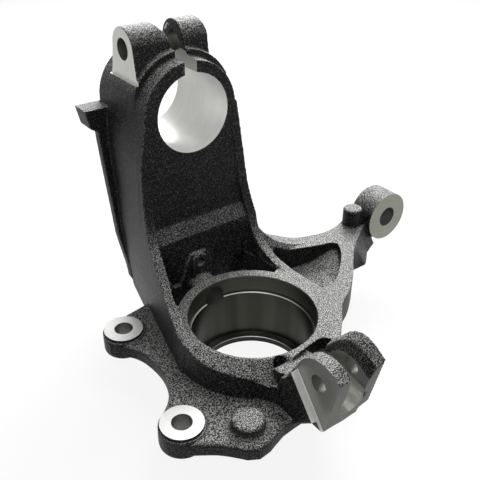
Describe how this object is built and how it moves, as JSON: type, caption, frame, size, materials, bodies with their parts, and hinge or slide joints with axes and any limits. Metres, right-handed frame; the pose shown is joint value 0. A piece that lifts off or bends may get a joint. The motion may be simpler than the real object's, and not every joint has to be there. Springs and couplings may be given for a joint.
{
  "type": "steering knuckle",
  "caption": "Cast steering knuckle with a wheel-bearing ring, slit strut clamp, caliper ears, slit ball-joint clamp and tie-rod arm.",
  "frame": {"origin": "middle of the wheel-bearing seat, on its axis", "axes": "+Z along the bearing seat, out of its open mouth; +Y along the strut bore, towards the strut; +X towards the steering arm"},
  "size_m": [0.2596, 0.2214, 0.2133],
  "materials": {
    "cast_iron": "black coated as-cast skin with bare machined faces and bores"
  },
  "bodies": {
    "root": {"steering_knuckle": "cast_iron"}
  },
  "joints": []
}
